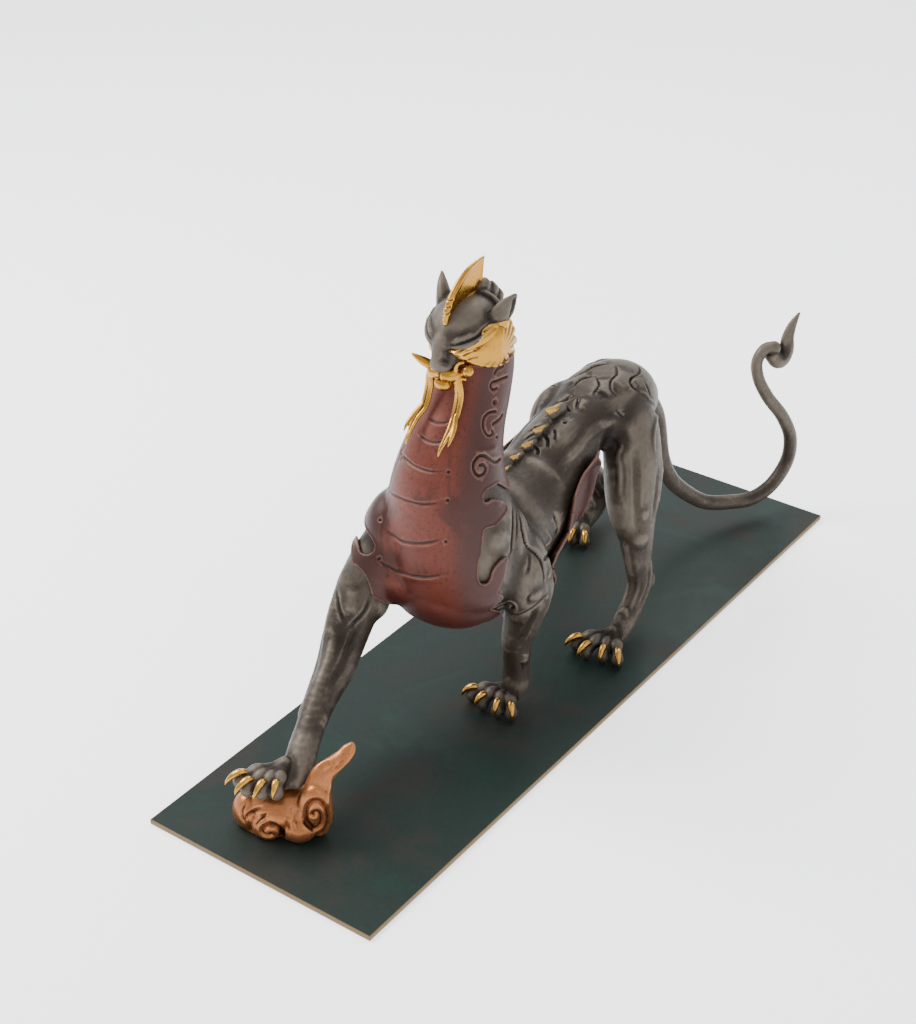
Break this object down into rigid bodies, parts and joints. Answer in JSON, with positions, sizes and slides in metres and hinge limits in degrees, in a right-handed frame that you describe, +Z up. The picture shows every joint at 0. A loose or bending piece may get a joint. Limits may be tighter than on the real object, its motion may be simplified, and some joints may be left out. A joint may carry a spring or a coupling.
{
  "type": "pixiu statue",
  "caption": "Cast bronze striding pixiu with a long neck, red breast shell, gilt horn, cheek manes and whiskers, one forepaw on a copper cloud, standing on a thin oblong green plate.",
  "frame": {"origin": "centre of the plate's underside", "axes": "+Z up; the beast faces -Y along the plate's length; +X is the beast's left"},
  "size_m": [0.15, 0.489, 0.2787],
  "materials": {
    "base_plate": "dark green patina with rubbed edges",
    "cloud": "satin copper-brown patina, rubbed rims",
    "beast": "grey-brown patina, rubbed highlights",
    "breast_shell": "mottled brick-red patina",
    "horn_crest": "gilt, brown in the hollows",
    "cheek_mane_left": "gilt, brown in the hollows",
    "cheek_mane_right": "gilt, brown in the hollows",
    "gilt_muzzle": "gilt, brown in the hollows"
  },
  "bodies": {
    "root": {"base_plate": "base_plate", "cloud": "cloud", "beast": "beast", "breast_shell": "breast_shell", "horn_crest": "horn_crest", "cheek_mane_left": "cheek_mane_left", "cheek_mane_right": "cheek_mane_right", "gilt_muzzle": "gilt_muzzle"}
  },
  "joints": []
}
